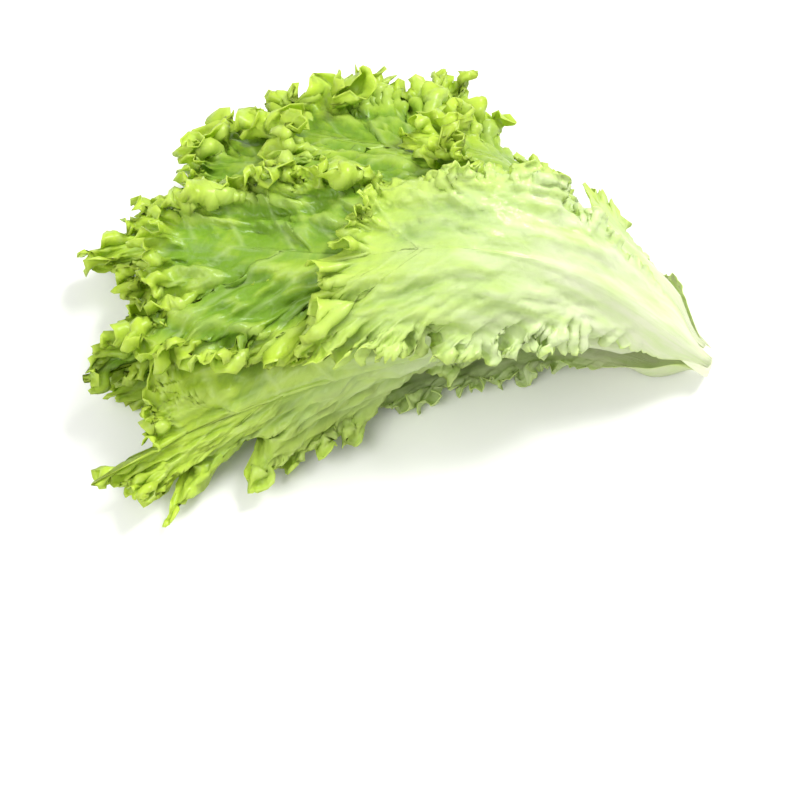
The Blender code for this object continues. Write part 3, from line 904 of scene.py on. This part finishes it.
def pressUnder(pattern, points, ceiling):
    # Keeps the leaf inside the ones already laid outside it, and adds it to them
    s, a, r = toLayers(points)
    room = drapeForm["leastGap"] + pattern.blade + frillLook["reliefRoom"]
    limit = ceiling.over(s, a % (2 * math.pi)) - room / outwardScale(s, a)
    press = np.maximum(r - limit, 0)
    for _ in range(10):
        press = np.maximum(press, pattern.averaged(press))
    most = press
    press = pattern.smoothed(press, frillLook["pressRounds"])
    press = np.maximum(press, most - frillLook["pressSlack"])
    onStem = stemRadius(s) + drapeForm["leastGap"]
    lowest = np.where(s < stemForm["length"], onStem, frillLook["leastLayer"])
    r = np.maximum(r - press, np.minimum(lowest, r))
    foot = 1 - smooth(pattern.l, 0.0, frillLook["footLength"])
    r = r + foot * np.minimum(stemRadius(s) - frillLook["sunkFoot"] - r, 0)
    points = toSpace(s, a, r)
    inner, _, _ = samples(points, pattern.triangles)
    s, a, r = toLayers(inner)
    ceiling.add(s, a % (2 * math.pi), r)
    return points


def softFloor(z, floor, blend):
    return floor + blend * np.logaddexp(0, (z - floor) / blend)


def fineShell(pattern, middle):
    # The two faces of the fine leaf as it lies on the table, kept above it
    look = frillLook
    middle[:, 2] = softFloor(middle[:, 2], look["floorGap"], look["floorBlend"])
    normal = vertexNormals(middle, pattern.triangles)
    thick = (1 - smooth(pattern.l, 0.0, 0.5 * pattern.leaf.length)) * (1 - pattern.place)
    thin = look["bladeAtMargin"]
    blade = thin + (look["bladeAtBase"] - thin) * thick * pattern.size
    outer = middle + normal * (0.5 * blade + pattern.rib)[:, None]
    inner = middle - normal * (0.5 * blade + look["ribShareBelow"] * pattern.rib)[:, None]
    points = np.concatenate([outer, inner])
    points[:, 2] = softFloor(points[:, 2], look["leastFloorGap"], look["leastFloorGap"])
    return points, np.concatenate([normal, normal])


def growHead():
    # Lays every leaf as its solid lies, and gives back the fine leaves' shells
    stack = Stack()
    solids, grown = {}, []
    for seed, leaf in enumerate(leafRows, start=1):
        pattern = Pattern(leaf, seed)
        outer, inner, push = drape(pattern, stack)
        faces = closedFaces(pattern.triangles, len(outer))
        solids[leaf.name] = (np.concatenate([outer, inner]), faces)
        grown.append((seed, pattern, push))
    solids["stem"] = plainStem()
    bed = Bed(solids)
    print("leaves laid:", len(grown))
    ceiling = Ceiling()
    shells = []
    for seed, coarse, push in reversed(grown):
        fine = FinePattern(coarse.leaf, seed)
        middle = bend(fine, spread(coarse, push, fine), waves=0.0)
        rng = np.random.default_rng(2000 + seed)
        beside = fine.beside()
        fine.cover = covered(fine, middle, ceiling)
        middle = curlUp(fine, middle, rng, beside)
        middle = ruffle(fine, middle, beside)
        for size in frills:
            middle = frill(fine, middle, rng, beside, size)
        middle = pressUnder(fine, middle, ceiling)
        shells.append((fine, *fineShell(fine, bed.lay(middle))))
    print("leaves frilled:", sum(len(fine.triangles) for fine, _, _ in shells), "faces a side")
    return shells, bed


# Colours are sRGB hex values, turned to linear ones here


def linear(hexColour):
    channels = [int(hexColour[k : k + 2], 16) / 255 for k in (1, 3, 5)]
    return (*(c / 12.92 if c <= 0.04045 else ((c + 0.055) / 1.055) ** 2.4 for c in channels), 1)


def addNode(tree, kind, inputs=None, **settings):
    # An input is a value, a socket, or a node, which is linked by its first live output
    node = tree.nodes.new(kind)
    for name, value in settings.items():
        setattr(node, name, value)
    for socket, value in (inputs or {}).items():
        if isinstance(value, bpy.types.Node):
            value = next(output for output in value.outputs if output.enabled)
        if isinstance(value, bpy.types.NodeSocket):
            tree.links.new(value, node.inputs[socket])
        else:
            node.inputs[socket].default_value = value
    return node


# The leaf's surface: wax over a thin, wet, translucent blade. Wax gives soft highlights
# of a satin gloss, and the blade glows yellow-green where light comes through it.

leafFinish = {
    "base": "#eef1d6",
    "pale": "#d8eaa6",
    "green": "#c6e04e",
    # Also painted into the relief's valleys, as painted shade
    "deep": "#84ad34",
    "margin": "#cde44e",
    "rim": "#d6ea74",
    # A paler line along the very edge: a painted highlight where the margin catches light
    "vein": "#e2f0b8",
    # Also painted on the relief's ridges, as a painted highlight
    "glow": "#d8ea24",
    "roughness": 0.29,
    "waxIor": 1.42,
    "translucency": 0.38,
    "veinSpacing": 0.0125,
    "veinWidth": 0.22,  # a share of the spacing, like the drift
    "veinDrift": 0.7,
    "driftSize": 1 / 60,  # sizes are in metres
    "cellSize": 0.0052,
    "patchSize": 1 / 34,
    "mottleSize": 1 / 230,
    "streakSize": 1 / 150,
    "lineSize": 0.0010,
    "grainSize": 1 / 1400,
}


def veinWave(tree, place, fan):
    # Falls to 0 along each side vein, whose line wanders a little
    finish = leafFinish
    drift = {"Vector": place, "Scale": 1 / finish["driftSize"], "Detail": 2.0}
    drift = addNode(tree, "ShaderNodeTexNoise", drift)
    shifted = {0: drift, 1: finish["veinDrift"], 2: fan}
    shifted = addNode(tree, "ShaderNodeMath", shifted, operation="MULTIPLY_ADD")
    return addNode(tree, "ShaderNodeMath", {0: shifted, 1: 1.0}, operation="PINGPONG")


def leafMaterial():
    look = leafFinish
    material = bpy.data.materials.new("waxyLettuceBlade")
    material.use_nodes = True
    tree = material.node_tree
    tree.nodes.clear()
    add = partial(addNode, tree)
    place, tone, form, touch = (
        add("ShaderNodeAttribute", attribute_name=name).outputs["Vector"]
        for name in ("leafPlace", "leafTone", "leafForm", "leafTouch")
    )
    relief = add("ShaderNodeAttribute", attribute_name="leafRelief").outputs["Fac"]
    white, dark, _ = add("ShaderNodeSeparateXYZ", {0: tone}).outputs
    edge, fan, _ = add("ShaderNodeSeparateXYZ", {0: form}).outputs
    onRib, _, _ = add("ShaderNodeSeparateXYZ", {0: touch}).outputs
    patches, mottle, grain = (
        add("ShaderNodeTexNoise", {"Vector": place, "Scale": 1 / look[size], "Detail": detail})
        for size, detail in (("patchSize", 3.0), ("mottleSize", 3.0), ("grainSize", 2.0))
    )

    # Depth of the green: more inland, patchy and mottled, and deeper in the valleys of the relief,
    # which is painted shade, with the ridges a little lighter, a painted highlight
    depth = dark
    for source, low, high, first, last in (
        (edge, 0.006, 0.030, 0.0, 0.38),
        (mottle, 0.35, 0.65, -0.12, 0.16),
        # The relief's valleys darkened as painted shade, its ridges lightened as a painted highlight
        (relief, -0.0016, 0.0016, 0.34, -0.20),
        (patches, 0.36, 0.66, 0.0, 0.50),
    ):
        share = add("ShaderNodeMapRange", {0: source, 1: low, 2: high, 3: first, 4: last})
        depth = add("ShaderNodeMath", {0: depth, 1: share}, operation="ADD")

    # White at the base, with green that runs into it in streaks
    drawn = add("ShaderNodeVectorMath", {0: place, 1: (0.30, 1.0, 1.0)}, operation="MULTIPLY")
    streaks = {"Vector": drawn, "Scale": 1 / look["streakSize"], "Detail": 3.0}
    streaks = add("ShaderNodeTexNoise", streaks)
    streak = add("ShaderNodeMapRange", {0: streaks, 1: 0.35, 2: 0.65, 3: 0.58, 4: 1.05})
    whiteness = add("ShaderNodeMath", {0: white, 1: streak}, operation="MULTIPLY")

    # Paler veins that fan out from the midrib, a net of finer ones, and paler ridges of the relief,
    # which are a painted highlight
    wave = veinWave(tree, place, fan)
    cells = {"Vector": place, "Scale": 1 / look["cellSize"]}
    cells = add("ShaderNodeTexVoronoi", cells, feature="DISTANCE_TO_EDGE")
    veinsAndRidgeHighlight = add("ShaderNodeMapRange", {0: wave, 1: 0.0, 2: look["veinWidth"], 3: 0.7, 4: 0.0})
    for source, low, high, first, last in (
        (cells, 0.0, 0.14, 0.12, 0.0),
        # The relief's ridges painted with the vein colour: a painted highlight
        (relief, 0.0006, 0.0024, 0.0, 0.45),
    ):
        share = add("ShaderNodeMapRange", {0: source, 1: low, 2: high, 3: first, 4: last})
        veinsAndRidgeHighlight = add("ShaderNodeMath", {0: veinsAndRidgeHighlight, 1: share}, operation="MAXIMUM")

    # Fine lines that run along the midrib
    threads = add("ShaderNodeVectorMath", {0: place, 1: (0.035, 1.0, 1.0)}, operation="MULTIPLY")
    lines = {"Vector": threads, "Scale": 1 / look["lineSize"], "Detail": 2.0}
    lines = add("ShaderNodeTexNoise", lines)
    ribLines = add("ShaderNodeMath", {0: lines, 1: onRib}, operation="MULTIPLY")

    # Each colour over the ones before it: what sets its share, from where to where, and how much
    colour = linear(look["green"])
    for source, low, high, first, last, name in (
        (depth, 0.0, 1.0, 0.0, 1.0, "deep"),
        (edge, 0.0, 0.014, 0.8, 0.0, "margin"),
        (whiteness, 0.0, 0.5, 0.0, 1.0, "pale"),
        (whiteness, 0.42, 0.95, 0.0, 1.0, "base"),
        (veinsAndRidgeHighlight, 0.0, 1.0, 0.0, 0.30, "vein"),
        # The rim: a painted highlight along the very edge of the margin
        (edge, 0.0002, 0.0014, 0.35, 0.0, "rim"),
        (ribLines, 0.45, 0.75, 0.0, 0.45, "pale"),
    ):
        share = add("ShaderNodeMapRange", {0: source, 1: low, 2: high, 3: first, 4: last})
        over = {0: share, 6: colour, 7: linear(look[name])}
        colour = add("ShaderNodeMix", over, data_type="RGBA").outputs[2]

    # Light that comes through the blade is yellower where the blade is green
    glowShare = add("ShaderNodeMapRange", {0: white, 1: 0.2, 2: 0.9, 3: 0.55, 4: 0.0})
    over = {0: glowShare, 6: colour, 7: linear(look["glow"])}
    glow = add("ShaderNodeMix", over, data_type="RGBA").outputs[2]

    # Cells, lines and grain too fine for the mesh, one over the other
    raised = {}
    for height, strength, distance in (
        (cells, 0.35, 0.0010),
        (ribLines, 0.6, 0.0006),
        (grain, 0.25, 0.0002),
    ):
        bump = {"Height": height, "Strength": strength, "Distance": distance, **raised}
        raised = {"Normal": add("ShaderNodeBump", bump)}
    wax = {"Base Color": colour, "Roughness": look["roughness"], "IOR": look["waxIor"]}
    shader = add("ShaderNodeBsdfPrincipled", {**wax, **raised})
    through = add("ShaderNodeBsdfTranslucent", {"Color": glow, **raised})
    mixed = add("ShaderNodeMixShader", {0: look["translucency"], 1: shader, 2: through})
    add("ShaderNodeOutputMaterial", {0: mixed})
    return material


# The relief of the blade: blisters, wrinkles and crinkles between the veins, and raised veins

reliefLook = {
    "Blister Height": 0.0015,
    "Blister Size": 0.0075,
    "Wrinkle Height": 0.0034,
    "Wrinkle Size": 0.0080,
    "Crinkle Height": 0.0017,
    "Crinkle Size": 0.0040,
    "Vein Height": 0.0006,
}


def reliefTree():
    tree = bpy.data.node_groups.new("leafRelief", "GeometryNodeTree")
    sockets = {"Leaf": "Geometry", **dict.fromkeys(reliefLook, "Float"), "Finish": "Material"}
    for name, kind in sockets.items():
        tree.interface.new_socket(name, in_out="INPUT", socket_type="NodeSocket" + kind)
    tree.interface.new_socket("Leaf", in_out="OUTPUT", socket_type="NodeSocketGeometry")
    add = partial(addNode, tree)
    given = add("NodeGroupInput").outputs
    place, veinPlace, tone, form, touch, normal = (
        add("GeometryNodeInputNamedAttribute", {0: name}, data_type="FLOAT_VECTOR").outputs[0]
        for name in ("leafPlace", "veinPlace", "leafTone", "leafForm", "leafTouch", "sheetNormal")
    )
    _, _, soft = add("ShaderNodeSeparateXYZ", {0: tone}).outputs
    edge, fan, crinkling = add("ShaderNodeSeparateXYZ", {0: form}).outputs
    _, free, _ = add("ShaderNodeSeparateXYZ", {0: touch}).outputs

    # Blisters: rounded cells, a little longer along the side veins
    drawn = add("ShaderNodeVectorMath", {0: veinPlace, 1: (1.0, 0.75, 1.0)}, operation="MULTIPLY")
    perSize = add("ShaderNodeMath", {0: 1.0, 1: given["Blister Size"]}, operation="DIVIDE")
    cells = {"Vector": drawn, "Scale": perSize, "Smoothness": 0.6}
    cells = add("ShaderNodeTexVoronoi", cells, feature="SMOOTH_F1")
    dome = add("ShaderNodeMapRange", {0: cells, 1: 0.0, 2: 0.75, 3: 0.7, 4: -0.4})
    dome = add("ShaderNodeMath", {0: dome, 1: soft}, operation="MULTIPLY")
    lifted = add("ShaderNodeMath", {0: dome, 1: given["Blister Height"]}, operation="MULTIPLY")

    # Wrinkles, longer folds that run with the leaf, then crinkles, finer and out to the margin
    for name, stretch, detail, low, high, height, share in (
        ("Wrinkle", 0.28, 2.5, 0.28, 0.72, 0.8, soft),
        ("Crinkle", 0.42, 2.0, 0.30, 0.70, 0.5, crinkling),
    ):
        drawn = {0: place, 1: (stretch, 1.0, 1.0)}
        drawn = add("ShaderNodeVectorMath", drawn, operation="MULTIPLY")
        perSize = add("ShaderNodeMath", {0: 1.0, 1: given[name + " Size"]}, operation="DIVIDE")
        noise = add("ShaderNodeTexNoise", {"Vector": drawn, "Scale": perSize, "Detail": detail})
        fold = add("ShaderNodeMapRange", {0: noise, 1: low, 2: high, 3: -height, 4: height})
        fold = add("ShaderNodeMath", {0: fold, 1: share}, operation="MULTIPLY")
        taller = {0: fold, 1: given[name + " Height"], 2: lifted}
        lifted = add("ShaderNodeMath", taller, operation="MULTIPLY_ADD")

    # Veins that stand out, away from the margin
    wave = veinWave(tree, place, fan)
    ridge = add("ShaderNodeMapRange", {0: wave, 1: 0.0, 2: leafFinish["veinWidth"], 3: 1.0, 4: 0.0})
    inland = add("ShaderNodeMapRange", {0: edge, 1: 0.002, 2: 0.012})
    ridge = add("ShaderNodeMath", {0: ridge, 1: inland}, operation="MULTIPLY")
    taller = {0: ridge, 1: given["Vein Height"], 2: lifted}
    lifted = add("ShaderNodeMath", taller, operation="MULTIPLY_ADD")

    # The relief fades out where the leaf lies on the table
    lifted = add("ShaderNodeMath", {0: lifted, 1: free}, operation="MULTIPLY")
    offset = add("ShaderNodeVectorMath", {0: normal, "Scale": lifted}, operation="SCALE")

    # The height is kept for the material, which paints the valleys between the ridges a deeper green
    # as painted shade and the ridges paler as a painted highlight
    kept = {"Geometry": given["Leaf"], "Name": "leafRelief", "Value": lifted}
    leaf = add("GeometryNodeStoreNamedAttribute", kept, data_type="FLOAT", domain="POINT")
    leaf = add("GeometryNodeSetPosition", {"Geometry": leaf, "Offset": offset})
    leaf = add("GeometryNodeRealizeInstances", {0: leaf})
    leaf = add("GeometryNodeSetMaterial", {"Geometry": leaf, "Material": given["Finish"]})
    add("NodeGroupOutput", {0: leaf})
    return tree


def meshObject(name, points, faces):
    mesh = bpy.data.meshes.new(name)
    mesh.vertices.add(len(points))
    mesh.vertices.foreach_set("co", np.ascontiguousarray(points, np.float32).ravel())
    mesh.loops.add(3 * len(faces))
    mesh.loops.foreach_set("vertex_index", np.ascontiguousarray(faces, np.int32).ravel())
    mesh.polygons.add(len(faces))
    mesh.polygons.foreach_set("loop_start", np.arange(0, 3 * len(faces), 3, dtype=np.int32))
    mesh.polygons.foreach_set("use_smooth", np.ones(len(faces), bool))
    mesh.update(calc_edges=True)
    obj = bpy.data.objects.new(name, mesh)
    bpy.context.scene.collection.objects.link(obj)
    return obj


def setAttribute(obj, name, vectors):
    attribute = obj.data.attributes.new(name, "FLOAT_VECTOR", "POINT")
    attribute.data.foreach_set("vector", np.ascontiguousarray(vectors, np.float32).ravel())


def applyTree(obj, tree, values):
    # Runs the node tree on the object and leaves a plain mesh
    modifier = obj.modifiers.new(tree.name, "NODES")
    modifier.node_group = tree
    for item in tree.interface.items_tree:
        if item.in_out == "INPUT" and item.name in values:
            modifier[item.identifier] = values[item.name]
    bpy.context.view_layer.update()
    evaluated = obj.evaluated_get(bpy.context.evaluated_depsgraph_get())
    mesh = bpy.data.meshes.new_from_object(evaluated)
    obj.modifiers.remove(modifier)
    obj.data = mesh


def fanCoordinate(pattern):
    # Counts the side veins: a point's vein leaves the midrib at this many spacings from the base
    slant = 2.0 - 1.1 * np.clip(pattern.l / pattern.leaf.length, 0, 1)
    root = pattern.l - np.abs(pattern.d) * slant
    return root / leafFinish["veinSpacing"] + np.where(pattern.side < 0, 0.5, 0.0)


def whiteness(pattern, look):
    # White at the base and along the midrib, fading towards the tip and the margin
    along = np.clip(pattern.l / pattern.leaf.length, 0, 1)
    rib = (1 - np.clip(np.abs(pattern.d) / (1.1 * pattern.ribHalfWidth(pattern.l)), 0, 1)) ** 0.7
    base = 1 - smooth(along, 0.10, 0.34 + 0.55 * look.pale)
    green = (0.75 - 0.35 * look.pale) * smooth(along, 0.0, 0.30)
    blade = base * (1 - green * pattern.place)
    return np.clip(np.maximum(blade, look.rib * rib * (1 - along)), 0, 1)


def dressLeaf(pattern, points, normals, tree, material):
    name, length = pattern.leaf.name, pattern.leaf.length
    look = leafLooks[name]
    count = len(pattern.t)
    obj = meshObject(name + "_blade", points, closedFaces(pattern.triangles, count))
    across = np.abs(pattern.d)
    edge = (1 - pattern.place) * pattern.span
    fan = fanCoordinate(pattern)

    # Where the blade is puckered, and how strongly: less on the rib and under other leaves
    halfRib = pattern.ribHalfWidth(pattern.l)
    offRib = smooth(across, 0.3 * halfRib, halfRib + 0.009)
    soft = offRib * smooth(pattern.l, 0.02, 0.09) * smooth(edge, 0.0, 0.004)
    soft = soft * look.blister * (1 - 0.7 * pattern.cover)
    crinkled = offRib * smooth(pattern.l, 0.03, 0.10) * look.blister**0.5
    crinkled = crinkled * (1 - 0.5 * pattern.cover)
    onRib = np.clip(1.4 - 1.2 * across / halfRib, 0, 1)
    onRib = onRib * (1 - smooth(pattern.l, 0.2 * length, 0.6 * length))
    lowest = np.minimum(points[:count, 2], points[count:, 2])
    free = smooth(lowest, 0.0006, 0.0040)

    # What the relief and the material read, the same on both faces; the seed keeps one
    # leaf's patterns apart from the next one's
    seed = 0.37 * int(name[-2:])
    fields = {
        "leafPlace": (pattern.l, pattern.d, np.full(count, seed)),
        "veinPlace": (leafFinish["veinSpacing"] * fan, across, seed + 0.11 * pattern.side),
        "leafTone": (whiteness(pattern, look), np.full(count, look.dark), soft),
        "leafForm": (edge, fan, crinkled),
        "leafTouch": (onRib, free, np.zeros(count)),
    }
    for field, parts in fields.items():
        vectors = np.stack(parts, -1)
        setAttribute(obj, field, np.concatenate([vectors, vectors]))
    setAttribute(obj, "sheetNormal", normals)
    applyTree(obj, tree, {**reliefLook, "Finish": material})
    obj.data.attributes.remove(obj.data.attributes["sheetNormal"])
    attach(obj, "root")
    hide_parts(name)
    return obj


# The stem: wet flesh, cut fresh. Its water gives it a soft gloss, and its fibres a faint
# mottle and shallow flutes.

stemLook = {
    "rows": 60,
    "sides": 96,
    "flutes": 18,
    "fluteDepth": 0.03,
    "flesh": "#eef0d6",
    "skin": "#dfe8ba",
    "fibreSize": 1 / 400,
    "roughness": 0.42,
}


def stemMaterial():
    look = stemLook
    material = bpy.data.materials.new("freshCutStem")
    material.use_nodes = True
    tree = material.node_tree
    shader = tree.nodes["Principled BSDF"]
    position = addNode(tree, "ShaderNodeTexCoord").outputs["Object"]
    fibres = {"Vector": position, "Scale": 1 / look["fibreSize"], "Detail": 4.0}
    fibres = addNode(tree, "ShaderNodeTexNoise", fibres)
    colour = {0: fibres, 6: linear(look["flesh"]), 7: linear(look["skin"])}
    colour = addNode(tree, "ShaderNodeMix", colour, data_type="RGBA").outputs[2]
    tree.links.new(colour, shader.inputs["Base Color"])
    shader.inputs["Roughness"].default_value = look["roughness"]
    return material


def makeStem(bed):
    look = stemLook
    s, a = stemGrid(np.linspace(0, stemForm["length"], look["rows"]), look["sides"])
    radius = stemRadius(s) - stemForm["chamfer"] * (1 - smooth(s, 0, stemForm["chamfer"]))
    radius = radius * (1 - look["fluteDepth"] * np.cos(look["flutes"] / 2 * a) ** 2)
    radius[-1] *= stemForm["tipShare"]
    points, faces = stemMesh(s, a, radius)
    obj = meshObject("stem_core", bed.lay(points), faces)
    obj.data.materials.append(stemMaterial())
    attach(obj, "root")
    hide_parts("stem")


# The studio: a plain pale floor, soft light and the photograph's view

studioLook = {
    "floor": "#f4f4f2",
    "floorSize": 6.0,
    "floorRoughness": 0.8,
    "skyStrength": 0.62,
    "azimuth": 23.0,
    "elevation": 62.0,
    "distance": 1.05,
    "sensor": 36,
    "focalPixels": 2100,
    "imagePixels": 800,
    "aimRight": -0.156,
    "aimUp": -0.0175,
}

# azimuth, elevation: where the light stands, degrees; power is in watts
Light = namedtuple("Light", "name azimuth elevation distance size power")
lights = (
    Light("window", 150, 60, 1.6, 0.6, 27),
    Light("fill", -30, 50, 1.8, 1.2, 19),
)


def viewAxes(azimuth, elevation):
    a, e = math.radians(azimuth), math.radians(elevation)
    back = Vector((math.sin(a) * math.cos(e), -math.cos(a) * math.cos(e), math.sin(e)))
    right = Vector((math.cos(a), math.sin(a), 0))
    return back, right, back.cross(right)


def addAimed(name, data, target, back, distance):
    # A camera or a light that stands back from the target and looks at it
    obj = bpy.data.objects.new(name, data)
    bpy.context.scene.collection.objects.link(obj)
    obj.location = target + back * distance
    obj.rotation_mode = "QUATERNION"
    obj.rotation_quaternion = (-back).to_track_quat("-Z", "Y")
    return obj


def addCamera(bed):
    look = studioLook
    data = bpy.data.cameras.new("camera")
    data.sensor_width = look["sensor"]
    data.lens = look["sensor"] * look["focalPixels"] / look["imagePixels"]
    data.clip_end = 100
    back, right, up = viewAxes(look["azimuth"], look["elevation"])
    cut = Vector(bed.lay(toSpace(np.zeros(1), np.zeros(1), np.zeros(1)))[0])
    target = cut + right * look["aimRight"] + up * look["aimUp"]
    bpy.context.scene.camera = addAimed("camera", data, target, back, look["distance"])


def addStudio():
    look = studioLook
    half = look["floorSize"] / 2
    corners = [(-half, -half, 0), (half, -half, 0), (half, half, 0), (-half, half, 0)]
    floor = meshObject("floor", np.array(corners), np.array([(0, 1, 2), (0, 2, 3)]))
    material = bpy.data.materials.new("paleFloor")
    material.use_nodes = True
    shader = material.node_tree.nodes["Principled BSDF"]
    shader.inputs["Base Color"].default_value = linear(look["floor"])
    shader.inputs["Roughness"].default_value = look["floorRoughness"]
    floor.data.materials.append(material)
    for light in lights:
        data = bpy.data.lights.new(light.name, "AREA")
        data.size = light.size
        data.energy = light.power
        back, _, _ = viewAxes(light.azimuth, light.elevation)
        addAimed(light.name, data, Vector((0, 0, 0)), back, light.distance)
    world = bpy.data.worlds.new("softSky")
    bpy.context.scene.world = world
    world.use_nodes = True
    background = world.node_tree.nodes["Background"]
    background.inputs["Color"].default_value = (1, 1, 1, 1)
    background.inputs["Strength"].default_value = look["skyStrength"]
    bpy.context.scene.view_settings.view_transform = "Standard"


def main():
    shells, bed = growHead()
    material = leafMaterial()
    tree = reliefTree()
    total = 0
    for pattern, points, normals in shells:
        obj = dressLeaf(pattern, points, normals, tree, material)
        total += len(obj.data.polygons)
    print("leaves dressed:", total, "triangles")
    makeStem(bed)
    addCamera(bed)
    addStudio()


main()
